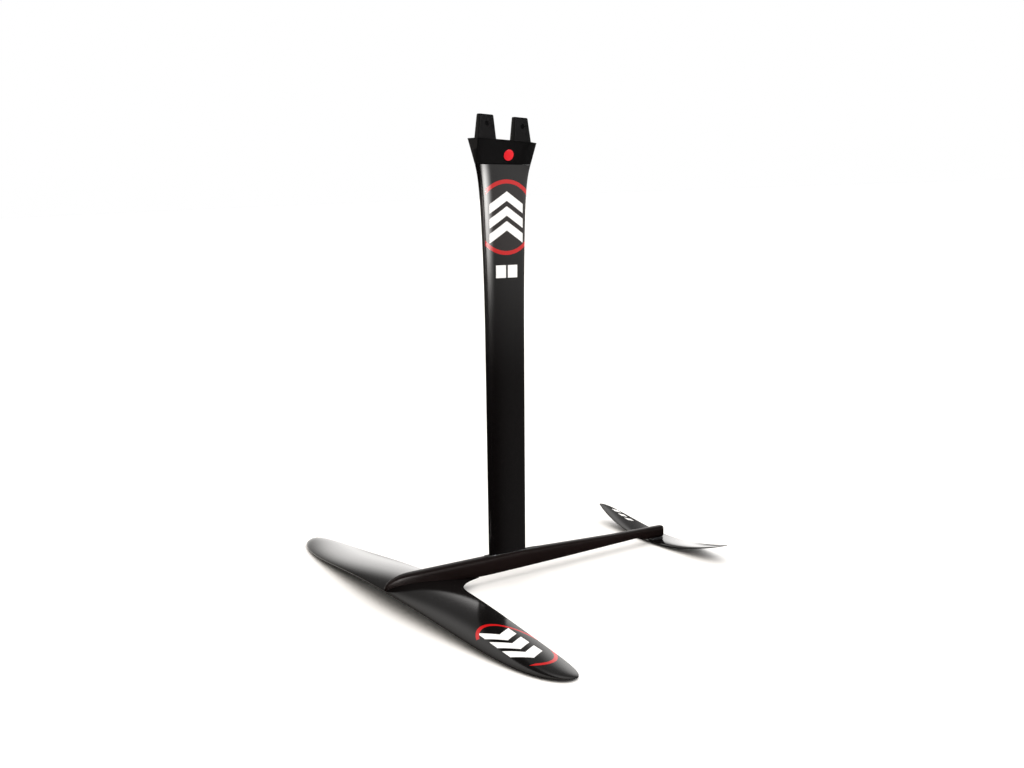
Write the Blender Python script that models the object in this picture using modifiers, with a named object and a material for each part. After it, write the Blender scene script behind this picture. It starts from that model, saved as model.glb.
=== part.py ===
"""A board's hydrofoil: mast with a two-pronged head, fuselage, front wing and stabilizer.

Axes are X to port, Y aft and Z up. Every piece hangs on one empty. Below that empty, y = 0 and z = 0
are the mast's leading edge on top of the fuselage; the empty moves the whole foil so that the origin
lies under its middle, at its lowest point.
"""
import math
from dataclasses import dataclass

import bmesh
import bpy
from mathutils import Vector

GAP = 0.0003
ROUND_STEPS = 16
BORE_STEPS = 20

# Mast, from the fuselage's top to the shoulder of its head. Its edges lean a little, and it flares
# towards the head: a broad flare from FLARE_START, and a tight one right under the head.
MAST_HEIGHT = 0.93
MAST_FRONT = (0.0024, -0.0110)
MAST_BACK = (0.1012, -0.0025)
MAST_THICKNESS = 0.0145
MAST_THICKENING = 0.30
MAST_FULLNESS = 0.75
MAST_EDGE = 0.0006
MAST_SKIN = 0.0016
FLARE_START = 0.5
BROAD_FLARE = (2, 0.0116, 0.0090)
TIGHT_FLARE = (12, 0.0068, 0.0104)
SPIGOT_LENGTH = 0.04
SPIGOT_LEVELS = (0.0, 0.35, 0.68, 1.0)
SPIGOT_CHORD = (0.05, 0.75)

# Head: a flared shoulder, sloping down aft, with two tapered prongs.
HEAD_HEIGHT = 0.0505
SHOULDER_SLOPE = 0.052
SHOULDER_LEVEL_Y = 0.085
SHOULDER_FRONT = -0.0321
SHOULDER_BACK = 0.1295
SHOULDER_HALF_WIDTH = 0.023
SHOULDER_TAIL_HALF_WIDTH = 0.008
SHOULDER_CHAMFER_START = 0.82
PRONG_HEIGHT = 0.0525
PRONG_ROOT = 0.006
PRONG_TIP_BEVEL = 0.004
PRONG_HALF_WIDTHS = (0.010, 0.0062)
FRONT_PRONG = ((-0.0222, 0.0233), (-0.0178, 0.0185))
REAR_PRONG = ((0.0694, 0.1142), (0.0727, 0.1076))
PRONG_CORNER = 0.002
NUT_RISE = 0.0330
NUT_PLACES = (("front", 0.0006), ("rear", 0.0928))
NUT_RADIUS = 0.0049
NUT_HALF_LENGTH = 0.0068
NUT_BORE_RADIUS = 0.0053
NUT_THREAD_RADIUS = 0.0034
BOLT_CHANNEL_RADIUS = 0.0043
BOLT_CHANNEL_DEPTH = 0.0145
BADGE_RADIUS = 0.0124
BADGE_RECESS_RADIUS = 0.0135
BADGE_RECESS_DEPTH = 0.0022
BADGE_EDGE = 0.0016
BADGE_DOME = 0.0016
BADGE_Y = 0.052
BADGE_Z = 0.8996

# Foot: the tenon of the mast stands in a pocket in the fuselage, through the seat gasket.
TENON = (0.004, 0.0985)
TENON_HALF_WIDTH = 0.0075
POCKET_DEPTH = 0.024
FOOT_SPIGOT_TOP = 0.05
GASKET = (-0.010, 0.137)
GASKET_HALF_WIDTH = 0.0082
GASKET_BASE = -0.0045
GASKET_TOP = -0.0003

# Fuselage.
NOSE_Y = -0.2658
NOSE_Z = -0.0350
NOSE_LENGTH = 0.062
NOSE_TAPER = 0.090
TAIL_Y = 0.5100
TAIL_BEVEL = 0.92
CREST_Y = 0.08
CREST_Z = 0.0010
TOP_FALL_FORWARD = 0.0235
TOP_FALL_AFT = 0.0215
TOP_LEVEL_Y = 0.36
BELLY_Y = -0.015
BELLY_Z = -0.0450
BELLY_RISE = 0.0191
BELLY_RISE_LENGTH = 0.435
BELLY_POWER = 1.17
SEAT_Z = -0.0325
SEAT_START = (0.425, 0.455)
FUSELAGE_HALF_WIDTHS = (0.0125, 0.0098)
FUSELAGE_SQUARENESS = 4.0
FUSELAGE_POINTS = 16

# Fasteners: a countersunk screw and the threaded insert that it reaches.
M8 = {"shank": 0.004, "head": 0.008, "head_height": 0.0044, "socket": 0.0029, "insert": 0.0056}
M6 = {"shank": 0.003, "head": 0.006, "head_height": 0.0033, "socket": 0.0023, "insert": 0.0043}
SOCKET_DEPTH = 0.003
HEAD_SUNK = 0.0006
HOLE_OVERRUN = 0.012
BORE_END = 0.002

MAST_SCREWS = (("front", 0.018), ("middle", 0.051), ("rear", 0.084))
MAST_SCREW_LENGTH = 0.031
MAST_INSERT_LENGTH = 0.0155
WING_SCREWS = (("front", 0.26), ("middle", 0.45), ("rear", 0.62))
WING_SCREW_LENGTH = 0.027
WING_INSERT_LENGTH = 0.0115
STAB_SCREWS = (("front", 0.16), ("rear", 0.40))
STAB_SCREW_LENGTH = 0.020
STAB_INSERT_LENGTH = 0.0115

# Front wing structure.
WING_SKIN = 0.0015
CORE_SPAN = 0.80
ROOT_BLOCK_HALF_WIDTH = 0.022
TONGUE_SCALE = 0.093
TONGUE_REACH = 0.100
TONGUE_POWER = 2.9
TONGUE_LIMIT = 0.077
TONGUE_DROP = 0.005

SHIM_HALF_WIDTH = 0.0085
SHIM_STATIONS = (0.06, 0.15, 0.25, 0.35, 0.45, 0.54)

LOOKS = {
    "gloss_carbon": ((0.012, 0.012, 0.013), 0.12, 0.0),
    "matt_moulding": ((0.018, 0.018, 0.020), 0.55, 0.0),
    "anodised": ((0.030, 0.022, 0.020), 0.25, 0.8),
    "foam": ((0.72, 0.62, 0.42), 0.85, 0.0),
    "block": ((0.55, 0.56, 0.58), 0.35, 0.9),
    "rubber": ((0.015, 0.015, 0.015), 0.8, 0.0),
    "stainless": ((0.62, 0.62, 0.64), 0.28, 1.0),
    "red_resin": ((0.80, 0.03, 0.03), 0.22, 0.0),
    "shim": ((0.03, 0.03, 0.035), 0.6, 0.0),
}


def foil_shape(u):
    """Half-thickness of a closed streamlined section at fraction u of its chord; its greatest is 1."""
    shape = 0.2969 * math.sqrt(u) - 0.1260 * u - 0.3516 * u**2 + 0.2843 * u**3 - 0.1036 * u**4
    return max(0.0, 10 * shape)


def spread(count, first=0.0):
    """Fractions from first to 1, close together at both ends."""
    steps = [(1 - math.cos(math.pi * i / (count - 1))) / 2 for i in range(count)]
    return [first + (1 - first) * step for step in steps]


def mix(a, b, t):
    return a + (b - a) * t


@dataclass(frozen=True)
class Foil:
    """A lifting surface. s is the fraction of the half-span, u the fraction of the chord."""
    half_span: float
    nose_y: float
    sweep: float
    sweep_power: float
    root_chord: float
    back_sweep: float
    tip_power: float
    tip_bias: float
    root_z: float
    rise: float
    tip_rise: float
    incidence: float
    thickness: float
    camber: float
    edge: float
    tongue: bool

    def tongue_at(self, s):
        """How far the trailing edge is drawn aft near the fuselage."""
        x = s * self.half_span
        if not self.tongue or x >= TONGUE_REACH:
            return 0.0
        return min(TONGUE_LIMIT, TONGUE_SCALE * (1 - x / TONGUE_REACH) ** TONGUE_POWER)

    def point(self, s, u, side, inset=0.0, least=GAP / 2):
        """A point at fraction (s, u), above the camber line (side 1) or below it (side -1)."""
        front = self.nose_y + self.sweep * s**self.sweep_power
        full = self.nose_y + self.root_chord + self.back_sweep * s - front
        chord = full * math.sqrt(max(0.0, 1 - s**self.tip_power))
        lead = front + self.tip_bias * (full - chord)
        half = self.thickness / 2 * foil_shape(u) * chord + self.edge * u
        bow = 4 * self.camber * chord * u * (1 - u)
        offset = bow + side * max(least, half - inset)
        turn = math.radians(self.incidence)
        pivot = 0.4
        along = (u - pivot) * chord
        aft = max(0.0, (u - pivot) / (1 - pivot)) ** 2
        y = lead + pivot * chord + along * math.cos(turn) + offset * math.sin(turn)
        y += self.tongue_at(s) * aft
        z = self.root_z + self.rise * s**2 + self.tip_rise * s**4
        z += offset * math.cos(turn) - along * math.sin(turn)
        z -= TONGUE_DROP * aft * self.tongue_at(s) / TONGUE_LIMIT
        return Vector((s * self.half_span, y, z))


FRONT_WING = Foil(
    half_span=0.5760, nose_y=-0.2655, sweep=0.0329, sweep_power=1.465, root_chord=0.1597,
    back_sweep=-0.0198, tip_power=7.9, tip_bias=0.563, root_z=-0.0396, rise=-0.0710,
    tip_rise=0.0456, incidence=0.78, thickness=0.088, camber=0.030, edge=0.0005, tongue=True)

STABILIZER = Foil(
    half_span=0.2440, nose_y=0.4684, sweep=0.0268, sweep_power=2.05, root_chord=0.0747,
    back_sweep=0.0, tip_power=4.0, tip_bias=0.10, root_z=-0.0394, rise=0.0400,
    tip_rise=0.0, incidence=0.0, thickness=0.10, camber=0.0, edge=0.0004, tongue=False)

WING_SPAN_STATIONS = (0.0, 0.021, 0.040, 0.055, 0.075, 0.105, 0.171, 0.30, 0.45, 0.60, 0.73, 0.83,
                      0.90, 0.95, 0.983, 0.9985)
STAB_SPAN_STATIONS = (0.0, 0.16, 0.34, 0.5, 0.65, 0.78, 0.88, 0.945, 0.983, 0.9985)
MAST_CHORD_STATIONS = spread(12)
MAST_CORE_STATIONS = MAST_CHORD_STATIONS[2:9]
WING_CHORD_STATIONS = spread(10)
CORE_CHORD_STATIONS = WING_CHORD_STATIONS[2:7]


def clear_scene():
    for obj in list(bpy.data.objects):
        bpy.data.objects.remove(obj, do_unlink=True)


def new_collection(name):
    collection = bpy.data.collections.new(name)
    bpy.context.scene.collection.children.link(collection)
    return collection


def material(look):
    """The look's material, made the first time it is asked for."""
    found = bpy.data.materials.get(look)
    if found:
        return found
    colour, roughness, metallic = LOOKS[look]
    made = bpy.data.materials.new(look)
    made.use_nodes = True
    shader = made.node_tree.nodes["Principled BSDF"]
    shader.inputs["Base Color"].default_value = (*colour, 1.0)
    shader.inputs["Roughness"].default_value = roughness
    shader.inputs["Metallic"].default_value = metallic
    return made


def add_piece(name, mesh, look, location=(0, 0, 0)):
    """A named solid of the foil."""
    obj = bpy.data.objects.new(name, mesh)
    mesh.materials.append(material(look))
    mesh.shade_smooth()
    mesh.set_sharp_from_angle(angle=math.radians(35))
    PARTS.objects.link(obj)
    obj.parent = FRAME
    obj.location = location
    return obj


def add_cutter(name, mesh, location=(0, 0, 0), tilt=0.0):
    obj = bpy.data.objects.new(name, mesh)
    CUTTERS.objects.link(obj)
    obj.parent = FRAME
    obj.location = location
    obj.rotation_euler = (0, tilt, 0)
    obj.hide_render = True
    obj.display_type = "WIRE"
    return obj


def combine(target, other, operation="DIFFERENCE"):
    modifier = target.modifiers.new(operation.lower(), "BOOLEAN")
    modifier.operation = operation
    modifier.solver = "EXACT"
    modifier.object = other


def mesh_from(name, bm):
    bmesh.ops.recalc_face_normals(bm, faces=bm.faces[:])
    mesh = bpy.data.meshes.new(name)
    bm.to_mesh(mesh)
    bm.free()
    return mesh


def loft(name, rings, cap_start=True, cap_end=True):
    """Skin over rings of equally many points, with a flat cap on each closed end."""
    bm = bmesh.new()
    loops = [[bm.verts.new(point) for point in ring] for ring in rings]
    count = len(rings[0])
    for lower, upper in zip(loops, loops[1:]):
        for i in range(count):
            j = (i + 1) % count
            bm.faces.new((lower[i], lower[j], upper[j], upper[i]))
    if cap_start:
        bm.faces.new(loops[0][::-1])
    if cap_end:
        bm.faces.new(loops[-1])
    return mesh_from(name, bm)


def prism(name, outline, low, high):
    """An upright prism on a flat outline."""
    return loft(name, [[(x, y, z) for x, y in outline] for z in (low, high)])


def stadium(front, back, half_width, arc_steps=6):
    """Outline of a slot with round ends, from front to back along Y."""
    outline = []
    for centre, start in ((back - half_width, 0.0), (front + half_width, math.pi)):
        for i in range(arc_steps + 1):
            angle = start + math.pi * i / arc_steps
            outline.append((half_width * math.cos(angle), centre + half_width * math.sin(angle)))
    return outline


def turned(name, profile, closed=False):
    """A mesh profile in the XZ plane, for a Screw modifier to turn round Z."""
    bm = bmesh.new()
    points = [bm.verts.new((radius, 0, height)) for radius, height in profile]
    for first, second in zip(points, points[1:]):
        bm.edges.new((first, second))
    if closed:
        bm.edges.new((points[-1], points[0]))
    mesh = bpy.data.meshes.new(name)
    bm.to_mesh(mesh)
    bm.free()
    return mesh


def turn(obj, steps=ROUND_STEPS):
    modifier = obj.modifiers.new("turn", "SCREW")
    modifier.steps = steps
    modifier.render_steps = steps
    modifier.use_merge_vertices = True
    modifier.merge_threshold = 0.00001
    modifier.use_smooth_shade = False


def cylinder_mesh(name, radius, length, segments=BORE_STEPS):
    """A cylinder round Z, centred on its origin."""
    bm = bmesh.new()
    bmesh.ops.create_cone(bm, cap_ends=True, segments=segments, radius1=radius, radius2=radius,
                          depth=length)
    return mesh_from(name, bm)


def bore(target, name, centre, radius, length, tilt=0.0):
    """Cut a round hole; tilt turns its axis from Z towards X."""
    combine(target, add_cutter(name, cylinder_mesh(name, radius, length), centre, tilt))


# Mast

def mast_flare(z):
    return max(0.0, (z - FLARE_START) / (MAST_HEIGHT - HEAD_HEIGHT - FLARE_START))


def mast_edges(z):
    """Leading and trailing edge of the mast at height z."""
    front = MAST_FRONT[0] + MAST_FRONT[1] * z
    back = MAST_BACK[0] + MAST_BACK[1] * z
    for power, forward, aft in (BROAD_FLARE, TIGHT_FLARE):
        front -= forward * mast_flare(z) ** power
        back += aft * mast_flare(z) ** power
    return front, back


def mast_half(u, z):
    """Half-thickness of the mast at fraction u of its chord and height z."""
    most = MAST_THICKNESS / 2 * (1 + MAST_THICKENING * mast_flare(z) ** 2)
    return most * foil_shape(u) ** MAST_FULLNESS + MAST_EDGE * u


def both_sides(port):
    """Closed outline from its port side, which runs aft; the starboard side comes forward again."""
    return port + [(-x, y, z) for x, y, z in reversed(port)]


def mast_ring(z, stations, inset):
    """Closed outline at height z, inset from the mast's surface."""
    front, back = mast_edges(z)
    return both_sides([(mast_half(u, z) - inset, mix(front, back, u), z) for u in stations])


def mast_heights():
    """Heights of the mast's sections; one of them is the lower end of the head's spigot."""
    joint = MAST_HEIGHT - HEAD_HEIGHT
    spigot = joint - SPIGOT_LENGTH
    lower = [mix(FLARE_START, spigot, t) for t in (0.0, 0.27, 0.52, 0.76)]
    return [0.0] + lower + [mix(spigot, joint, t) for t in SPIGOT_LEVELS]


def make_mast_skin(name, side):
    """One bonded half of the mast: thin over the core and solid at both edges."""
    stations = MAST_CHORD_STATIONS
    rings = []
    for z in mast_heights():
        front, back = mast_edges(z)
        outer = [(max(GAP / 2, mast_half(u, z)), mix(front, back, u)) for u in stations]
        inner = [(max(GAP / 2, mast_half(u, z) - MAST_SKIN), mix(front, back, u))
                 for u in stations[1:]]
        rings.append([(side * x, y, z) for x, y in outer + inner[::-1]])
    return add_piece(name, loft(name, rings), "gloss_carbon")


def make_mast_core():
    top = MAST_HEIGHT - HEAD_HEIGHT - SPIGOT_LENGTH - GAP
    heights = [FOOT_SPIGOT_TOP + GAP] + [z for z in mast_heights() if FOOT_SPIGOT_TOP < z < top] + [top]
    rings = [mast_ring(z, MAST_CORE_STATIONS, MAST_SKIN + GAP) for z in heights]
    return add_piece("mast_foam_core", loft("mast_foam_core", rings), "foam")


def make_foot_block():
    """Tenon in the fuselage's pocket, with a spigot up inside the mast's skins."""
    stations = MAST_CORE_STATIONS
    spigot = [mast_ring(z, stations, MAST_SKIN + GAP) for z in (GASKET_TOP, FOOT_SPIGOT_TOP)]
    slot = stadium(*TENON, TENON_HALF_WIDTH, arc_steps=len(stations) - 1)
    quarter = len(stations) // 2 + 1
    slot = slot[-quarter:] + slot[:-quarter]
    tenon = [[(x, y, z) for x, y in slot] for z in (GAP - POCKET_DEPTH, GASKET_TOP)]
    block = add_piece("mast_foot_block", loft("mast_foot_block", tenon + spigot), "block")
    for place, y in MAST_SCREWS:
        length = 2 * (MAST_INSERT_LENGTH + BORE_END)
        bore(block, "foot_bore_" + place, (0, y, GAP - POCKET_DEPTH), M8["insert"] + GAP, length)
    return block


# Head

def shoulder_half(u):
    """Half-width of the shoulder: a flat front, parallel sides and a chamfered tail."""
    corner = 0.02
    if u < corner:
        return SHOULDER_HALF_WIDTH - PRONG_CORNER * (1 - u / corner)
    tail = max(0.0, (u - SHOULDER_CHAMFER_START) / (1 - SHOULDER_CHAMFER_START))
    return mix(SHOULDER_HALF_WIDTH, SHOULDER_TAIL_HALF_WIDTH, tail)


def shoulder_z(y):
    """Height of the head's sloping top face."""
    return MAST_HEIGHT + SHOULDER_SLOPE * (SHOULDER_LEVEL_Y - y)


def head_ring(t, stations):
    """Outline of the head at fraction t of its height, from the mast's section to the shoulder's."""
    joint = MAST_HEIGHT - HEAD_HEIGHT
    front, back = mast_edges(joint)
    port = []
    for u in stations:
        y = mix(mix(front, SHOULDER_FRONT, t), mix(back, SHOULDER_BACK, t), u)
        x = mix(mast_half(u, joint), shoulder_half(u), t)
        port.append((x, y, mix(joint + GAP, shoulder_z(y), t)))
    return both_sides(port)


def prong_ring(t, front, back, half_width):
    """Outline of a prong at fraction t of its height, parallel to the shoulder."""
    corner = PRONG_CORNER
    port = [(half_width - corner, front), (half_width, front + corner), (half_width, back - corner),
            (half_width - corner, back)]
    return both_sides([(x, y, shoulder_z(y) + t * PRONG_HEIGHT) for x, y in port])


def make_prong(name, base, tip):
    """A tapered prong that starts inside the head, ready to be joined to it."""
    bevel = 1 - PRONG_TIP_BEVEL / PRONG_HEIGHT
    rings = []
    for t, trim in ((-PRONG_ROOT / PRONG_HEIGHT, 0.0), (bevel, 0.0), (1.0, PRONG_CORNER / 2)):
        front = mix(base[0], tip[0], t) + trim
        back = mix(base[1], tip[1], t) - trim
        half_width = mix(*PRONG_HALF_WIDTHS, t) - trim
        rings.append(prong_ring(t, front, back, half_width))
    return add_cutter(name, loft(name, rings))


def badge_pose(side):
    """Centre, normal and tilt of the badge's recess on the head's leaning side face."""
    joint = MAST_HEIGHT - HEAD_HEIGHT
    low, height = mast_half(0.4, joint), shoulder_z(BADGE_Y) - joint
    lean = math.atan((SHOULDER_HALF_WIDTH - low) / height)
    x = mix(low, SHOULDER_HALF_WIDTH, (BADGE_Z - joint) / height)
    normal = Vector((side * math.cos(lean), 0, -math.sin(lean)))
    return Vector((side * x, BADGE_Y, BADGE_Z)), normal, side * (math.pi / 2 + lean)


def make_head():
    stations = spread(14, first=0.004)
    joint = MAST_HEIGHT - HEAD_HEIGHT
    spigot_stations = [mix(*SPIGOT_CHORD, i / (len(stations) - 1)) for i in range(len(stations))]
    levels = [mix(joint - SPIGOT_LENGTH, joint, t) for t in SPIGOT_LEVELS]
    rings = [mast_ring(z, spigot_stations, MAST_SKIN + 2 * GAP) for z in levels]
    rings[-1] = [(x, y, z + GAP) for x, y, z in rings[-1]]
    rings += [head_ring(t, stations) for t in (0.0, 0.25, 0.5, 0.75, 1.0)]
    head = add_piece("mast_head", loft("mast_head", rings), "matt_moulding")
    for name, prong in (("front", FRONT_PRONG), ("rear", REAR_PRONG)):
        combine(head, make_prong(name + "_prong", *prong), "UNION")
    across = 4 * PRONG_HALF_WIDTHS[0]
    for name, y in NUT_PLACES:
        nut_z = shoulder_z(y) + NUT_RISE
        bore(head, name + "_nut_bore", (0, y, nut_z), NUT_BORE_RADIUS, across, math.pi / 2)
        floor, open_end = nut_z - BOLT_CHANNEL_DEPTH, nut_z + PRONG_HEIGHT
        middle = (0, y, (floor + open_end) / 2)
        bore(head, name + "_bolt_channel", middle, BOLT_CHANNEL_RADIUS, open_end - floor)
    for name, side in (("port", 1), ("starboard", -1)):
        centre, _, tilt = badge_pose(side)
        bore(head, name + "_badge_recess", centre, BADGE_RECESS_RADIUS, 2 * BADGE_RECESS_DEPTH, tilt)
    return head


def make_badge(name, side):
    """A plain domed disc in its recess."""
    rings = 5
    dome = [(BADGE_RADIUS * r, BADGE_EDGE + BADGE_DOME * (1 - r**2))
            for r in (i / rings for i in range(rings + 1))]
    profile = dome + [(BADGE_RADIUS, 0.0), (0.0, 0.0)]
    centre, normal, tilt = badge_pose(side)
    seat = centre - normal * (BADGE_RECESS_DEPTH - GAP)
    obj = add_piece(name, turned(name, profile), "red_resin", seat)
    obj.rotation_euler = (0, tilt, 0)
    turn(obj, BORE_STEPS)
    return obj


def make_barrel_nut(name, y):
    """A cross nut that turns in its bore; its thread runs across it."""
    chamfer = 0.0005
    profile = [(0, NUT_HALF_LENGTH), (NUT_RADIUS - chamfer, NUT_HALF_LENGTH),
               (NUT_RADIUS, NUT_HALF_LENGTH - chamfer), (NUT_RADIUS, chamfer - NUT_HALF_LENGTH),
               (NUT_RADIUS - chamfer, -NUT_HALF_LENGTH), (0, -NUT_HALF_LENGTH)]
    centre = (0, y, shoulder_z(y) + NUT_RISE)
    nut = add_piece(name, turned(name, profile), "stainless", centre)
    nut.rotation_euler = (0, math.pi / 2, 0)
    turn(nut, BORE_STEPS)
    bore(nut, name + "_thread", centre, NUT_THREAD_RADIUS, 4 * NUT_RADIUS)
    return nut


# Fuselage

def fuselage_top(y):
    if y < CREST_Y:
        return CREST_Z - TOP_FALL_FORWARD * (CREST_Y - y)
    return CREST_Z - TOP_FALL_AFT * (min(y, TOP_LEVEL_Y) - CREST_Y)


def fuselage_belly(y):
    line = BELLY_Z + BELLY_RISE * (max(0.0, y - BELLY_Y) / BELLY_RISE_LENGTH) ** BELLY_POWER
    t = min(1.0, max(0.0, (y - SEAT_START[0]) / (SEAT_START[1] - SEAT_START[0])))
    return mix(line, SEAT_Z, t * t * (3 - 2 * t))


def fuselage_ring(y):
    """Rounded square section that shrinks to a point at the nose."""
    rise = math.sqrt(1 - (1 - min(1.0, (y - NOSE_Y) / NOSE_LENGTH)) ** 2)
    widen = math.sqrt(1 - (1 - min(1.0, (y - NOSE_Y) / NOSE_TAPER)) ** 2)
    top = mix(NOSE_Z, fuselage_top(y), rise)
    belly = mix(NOSE_Z, fuselage_belly(y), rise)
    half_width = widen * mix(*FUSELAGE_HALF_WIDTHS, max(0.0, y / TAIL_Y))
    ring = []
    for i in range(FUSELAGE_POINTS):
        angle = 2 * math.pi * (i + 0.5) / FUSELAGE_POINTS
        across, up = math.cos(angle), math.sin(angle)
        power = 2 / FUSELAGE_SQUARENESS
        x = half_width * math.copysign(abs(across) ** power, across)
        z = (top + belly) / 2 + (top - belly) / 2 * math.copysign(abs(up) ** power, up)
        ring.append((x, y, z))
    return ring


def fuselage_stations():
    nose = [NOSE_Y + NOSE_TAPER * t for t in (0.006, 0.03, 0.08, 0.16, 0.27, 0.40, 0.55, 0.75, 1.0)]
    body = [-0.12, -0.06, BELLY_Y, 0.03, CREST_Y, 0.13, 0.22, 0.30, TOP_LEVEL_Y]
    seat = [mix(*SEAT_START, t) for t in (0.0, 0.25, 0.5, 0.75, 1.0)]
    return nose + body + seat + [TAIL_Y - 0.001]


def tail_ring():
    """The tail's end face, a little smaller than the section in front of it."""
    ring = fuselage_ring(TAIL_Y)
    middle = sum(z for _, _, z in ring) / len(ring)
    return [(x * TAIL_BEVEL, y, middle + (z - middle) * TAIL_BEVEL) for x, y, z in ring]


def make_wing_saddle():
    """Cutter with the front wing's upper surface, which the fuselage sits down over."""
    deep = -0.09
    rings = []
    for x in (-0.03, -0.021, -0.0125, 0.0, 0.0125, 0.021, 0.03):
        s = abs(x) / FRONT_WING.half_span
        top = [FRONT_WING.point(s, u, 1, inset=-GAP) for u in WING_CHORD_STATIONS]
        front, back = top[0].y - 0.02, top[-1].y + GAP
        outline = [(front, deep), (front, top[0].z)] + [(p.y, p.z) for p in top]
        outline += [(back, top[-1].z), (back, deep)]
        rings.append([(x, y, z) for y, z in outline])
    return add_cutter("wing_saddle", loft("wing_saddle", rings))


def make_fuselage():
    rings = [fuselage_ring(y) for y in fuselage_stations()] + [tail_ring()]
    body = add_piece("fuselage_body", loft("fuselage_body", rings), "anodised")
    combine(body, make_wing_saddle())
    pocket = stadium(TENON[0] - GAP, TENON[1] + GAP, TENON_HALF_WIDTH + GAP)
    recess = stadium(GASKET[0] - GAP, GASKET[1] + GAP, GASKET_HALF_WIDTH + GAP)
    above = 0.01
    combine(body, add_cutter("foot_pocket", prism("foot_pocket", pocket, -POCKET_DEPTH, above)))
    combine(body, add_cutter("gasket_recess", prism("gasket_recess", recess, GASKET_BASE - GAP, above)))
    return body


def make_gasket():
    gasket = add_piece("mast_seat_gasket", prism("mast_seat_gasket", stadium(*GASKET, GASKET_HALF_WIDTH),
                                                 GASKET_BASE, GASKET_TOP), "rubber")
    hole = stadium(TENON[0] - GAP, TENON[1] + GAP, TENON_HALF_WIDTH)
    combine(gasket, add_cutter("gasket_hole", prism("gasket_hole", hole, -POCKET_DEPTH, POCKET_DEPTH)))
    return gasket


# Front wing

def wing_skin_ring(s, side):
    outer = [FRONT_WING.point(s, u, side, least=GAP) for u in WING_CHORD_STATIONS[1:]]
    nose = FRONT_WING.point(s, 0.0, side)
    inner = [FRONT_WING.point(s, u, side, inset=WING_SKIN) for u in WING_CHORD_STATIONS[1:]]
    return [nose] + outer + inner[::-1]


def make_wing_skin(name, side):
    """Half the span, mirrored about the middle plane."""
    rings = [wing_skin_ring(s, side) for s in WING_SPAN_STATIONS]
    skin = add_piece(name, loft(name, rings, cap_start=False), "gloss_carbon")
    mirror = skin.modifiers.new("mirror", "MIRROR")
    mirror.merge_threshold = 0.00005
    return skin


def wing_core_ring(x):
    s = abs(x) / FRONT_WING.half_span
    upper = [FRONT_WING.point(s, u, 1, inset=WING_SKIN + GAP) for u in CORE_CHORD_STATIONS]
    lower = [FRONT_WING.point(s, u, -1, inset=WING_SKIN + GAP) for u in CORE_CHORD_STATIONS]
    return [(x, p.y, p.z) for p in upper + lower[::-1]]


def make_wing_core(name, side):
    inner = ROOT_BLOCK_HALF_WIDTH + GAP
    stations = [s * FRONT_WING.half_span for s in WING_SPAN_STATIONS if s <= CORE_SPAN]
    spans = [inner] + [x for x in stations if x > inner + GAP]
    return add_piece(name, loft(name, [wing_core_ring(side * x) for x in spans]), "foam")


def make_root_block():
    spans = [s * FRONT_WING.half_span for s in WING_SPAN_STATIONS[1:]]
    half = [x for x in spans if x < ROOT_BLOCK_HALF_WIDTH] + [ROOT_BLOCK_HALF_WIDTH]
    xs = [-x for x in reversed(half)] + [0.0] + half
    return add_piece("front_wing_root_block",
                     loft("front_wing_root_block", [wing_core_ring(x) for x in xs]), "block")


# Stabilizer

def make_stabilizer():
    rings = []
    for s in STAB_SPAN_STATIONS:
        upper = [STABILIZER.point(s, u, 1) for u in WING_CHORD_STATIONS]
        lower = [STABILIZER.point(s, u, -1) for u in WING_CHORD_STATIONS[1:]]
        rings.append(upper + lower[::-1])
    stabilizer = add_piece("stabilizer", loft("stabilizer", rings, cap_start=False), "gloss_carbon")
    mirror = stabilizer.modifiers.new("mirror", "MIRROR")
    mirror.merge_threshold = 0.00005
    return stabilizer


def make_shim():
    """Saddle between the tail's flat seat and the stabilizer's curved top."""
    rings = []
    for x in (-SHIM_HALF_WIDTH, 0.0, SHIM_HALF_WIDTH):
        s = abs(x) / STABILIZER.half_span
        lower = [STABILIZER.point(s, u, 1, inset=-GAP) for u in SHIM_STATIONS]
        upper = [(p.y, SEAT_Z - GAP) for p in lower]
        rings.append([(x, p.y, p.z) for p in lower] + [(x, y, z) for y, z in reversed(upper)])
    return add_piece("stabilizer_shim", loft("stabilizer_shim", rings), "shim")


# Fasteners

def add_screw(name, size, length, y, z):
    """Countersunk screw standing on its head, with a hexagon socket."""
    shank, head, rim = size["shank"], size["head"], GAP
    tip = 0.0006
    profile = [(0, length), (shank - tip, length), (shank, length - tip), (shank, size["head_height"]),
               (head, rim), (head, 0), (0, 0)]
    screw = add_piece(name, turned(name, profile), "stainless", (0, y, z))
    turn(screw)
    socket = cylinder_mesh(name + "_socket", size["socket"], 2 * SOCKET_DEPTH, segments=6)
    combine(screw, add_cutter(name + "_socket", socket, (0, y, z)))
    return screw


def countersink(targets, name, size, length, y, z):
    """Clear hole for a countersunk screw through each target."""
    clear, rim = size["shank"] + GAP, size["head"] + GAP
    profile = [(0, length), (clear, length), (clear, size["head_height"] + GAP), (rim, GAP),
               (rim, -HOLE_OVERRUN), (0, -HOLE_OVERRUN)]
    cutter = add_cutter(name, turned(name, profile), (0, y, z))
    turn(cutter)
    for target in targets:
        combine(target, cutter)


def add_insert(name, size, length, y, z):
    """Threaded bush; its bore clears the screw's shank."""
    inner, outer = size["shank"] + GAP, size["insert"]
    profile = [(outer, length), (outer, 0), (inner, 0), (inner, length)]
    insert = add_piece(name, turned(name, profile, closed=True), "stainless", (0, y, z))
    turn(insert)
    return insert


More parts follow.
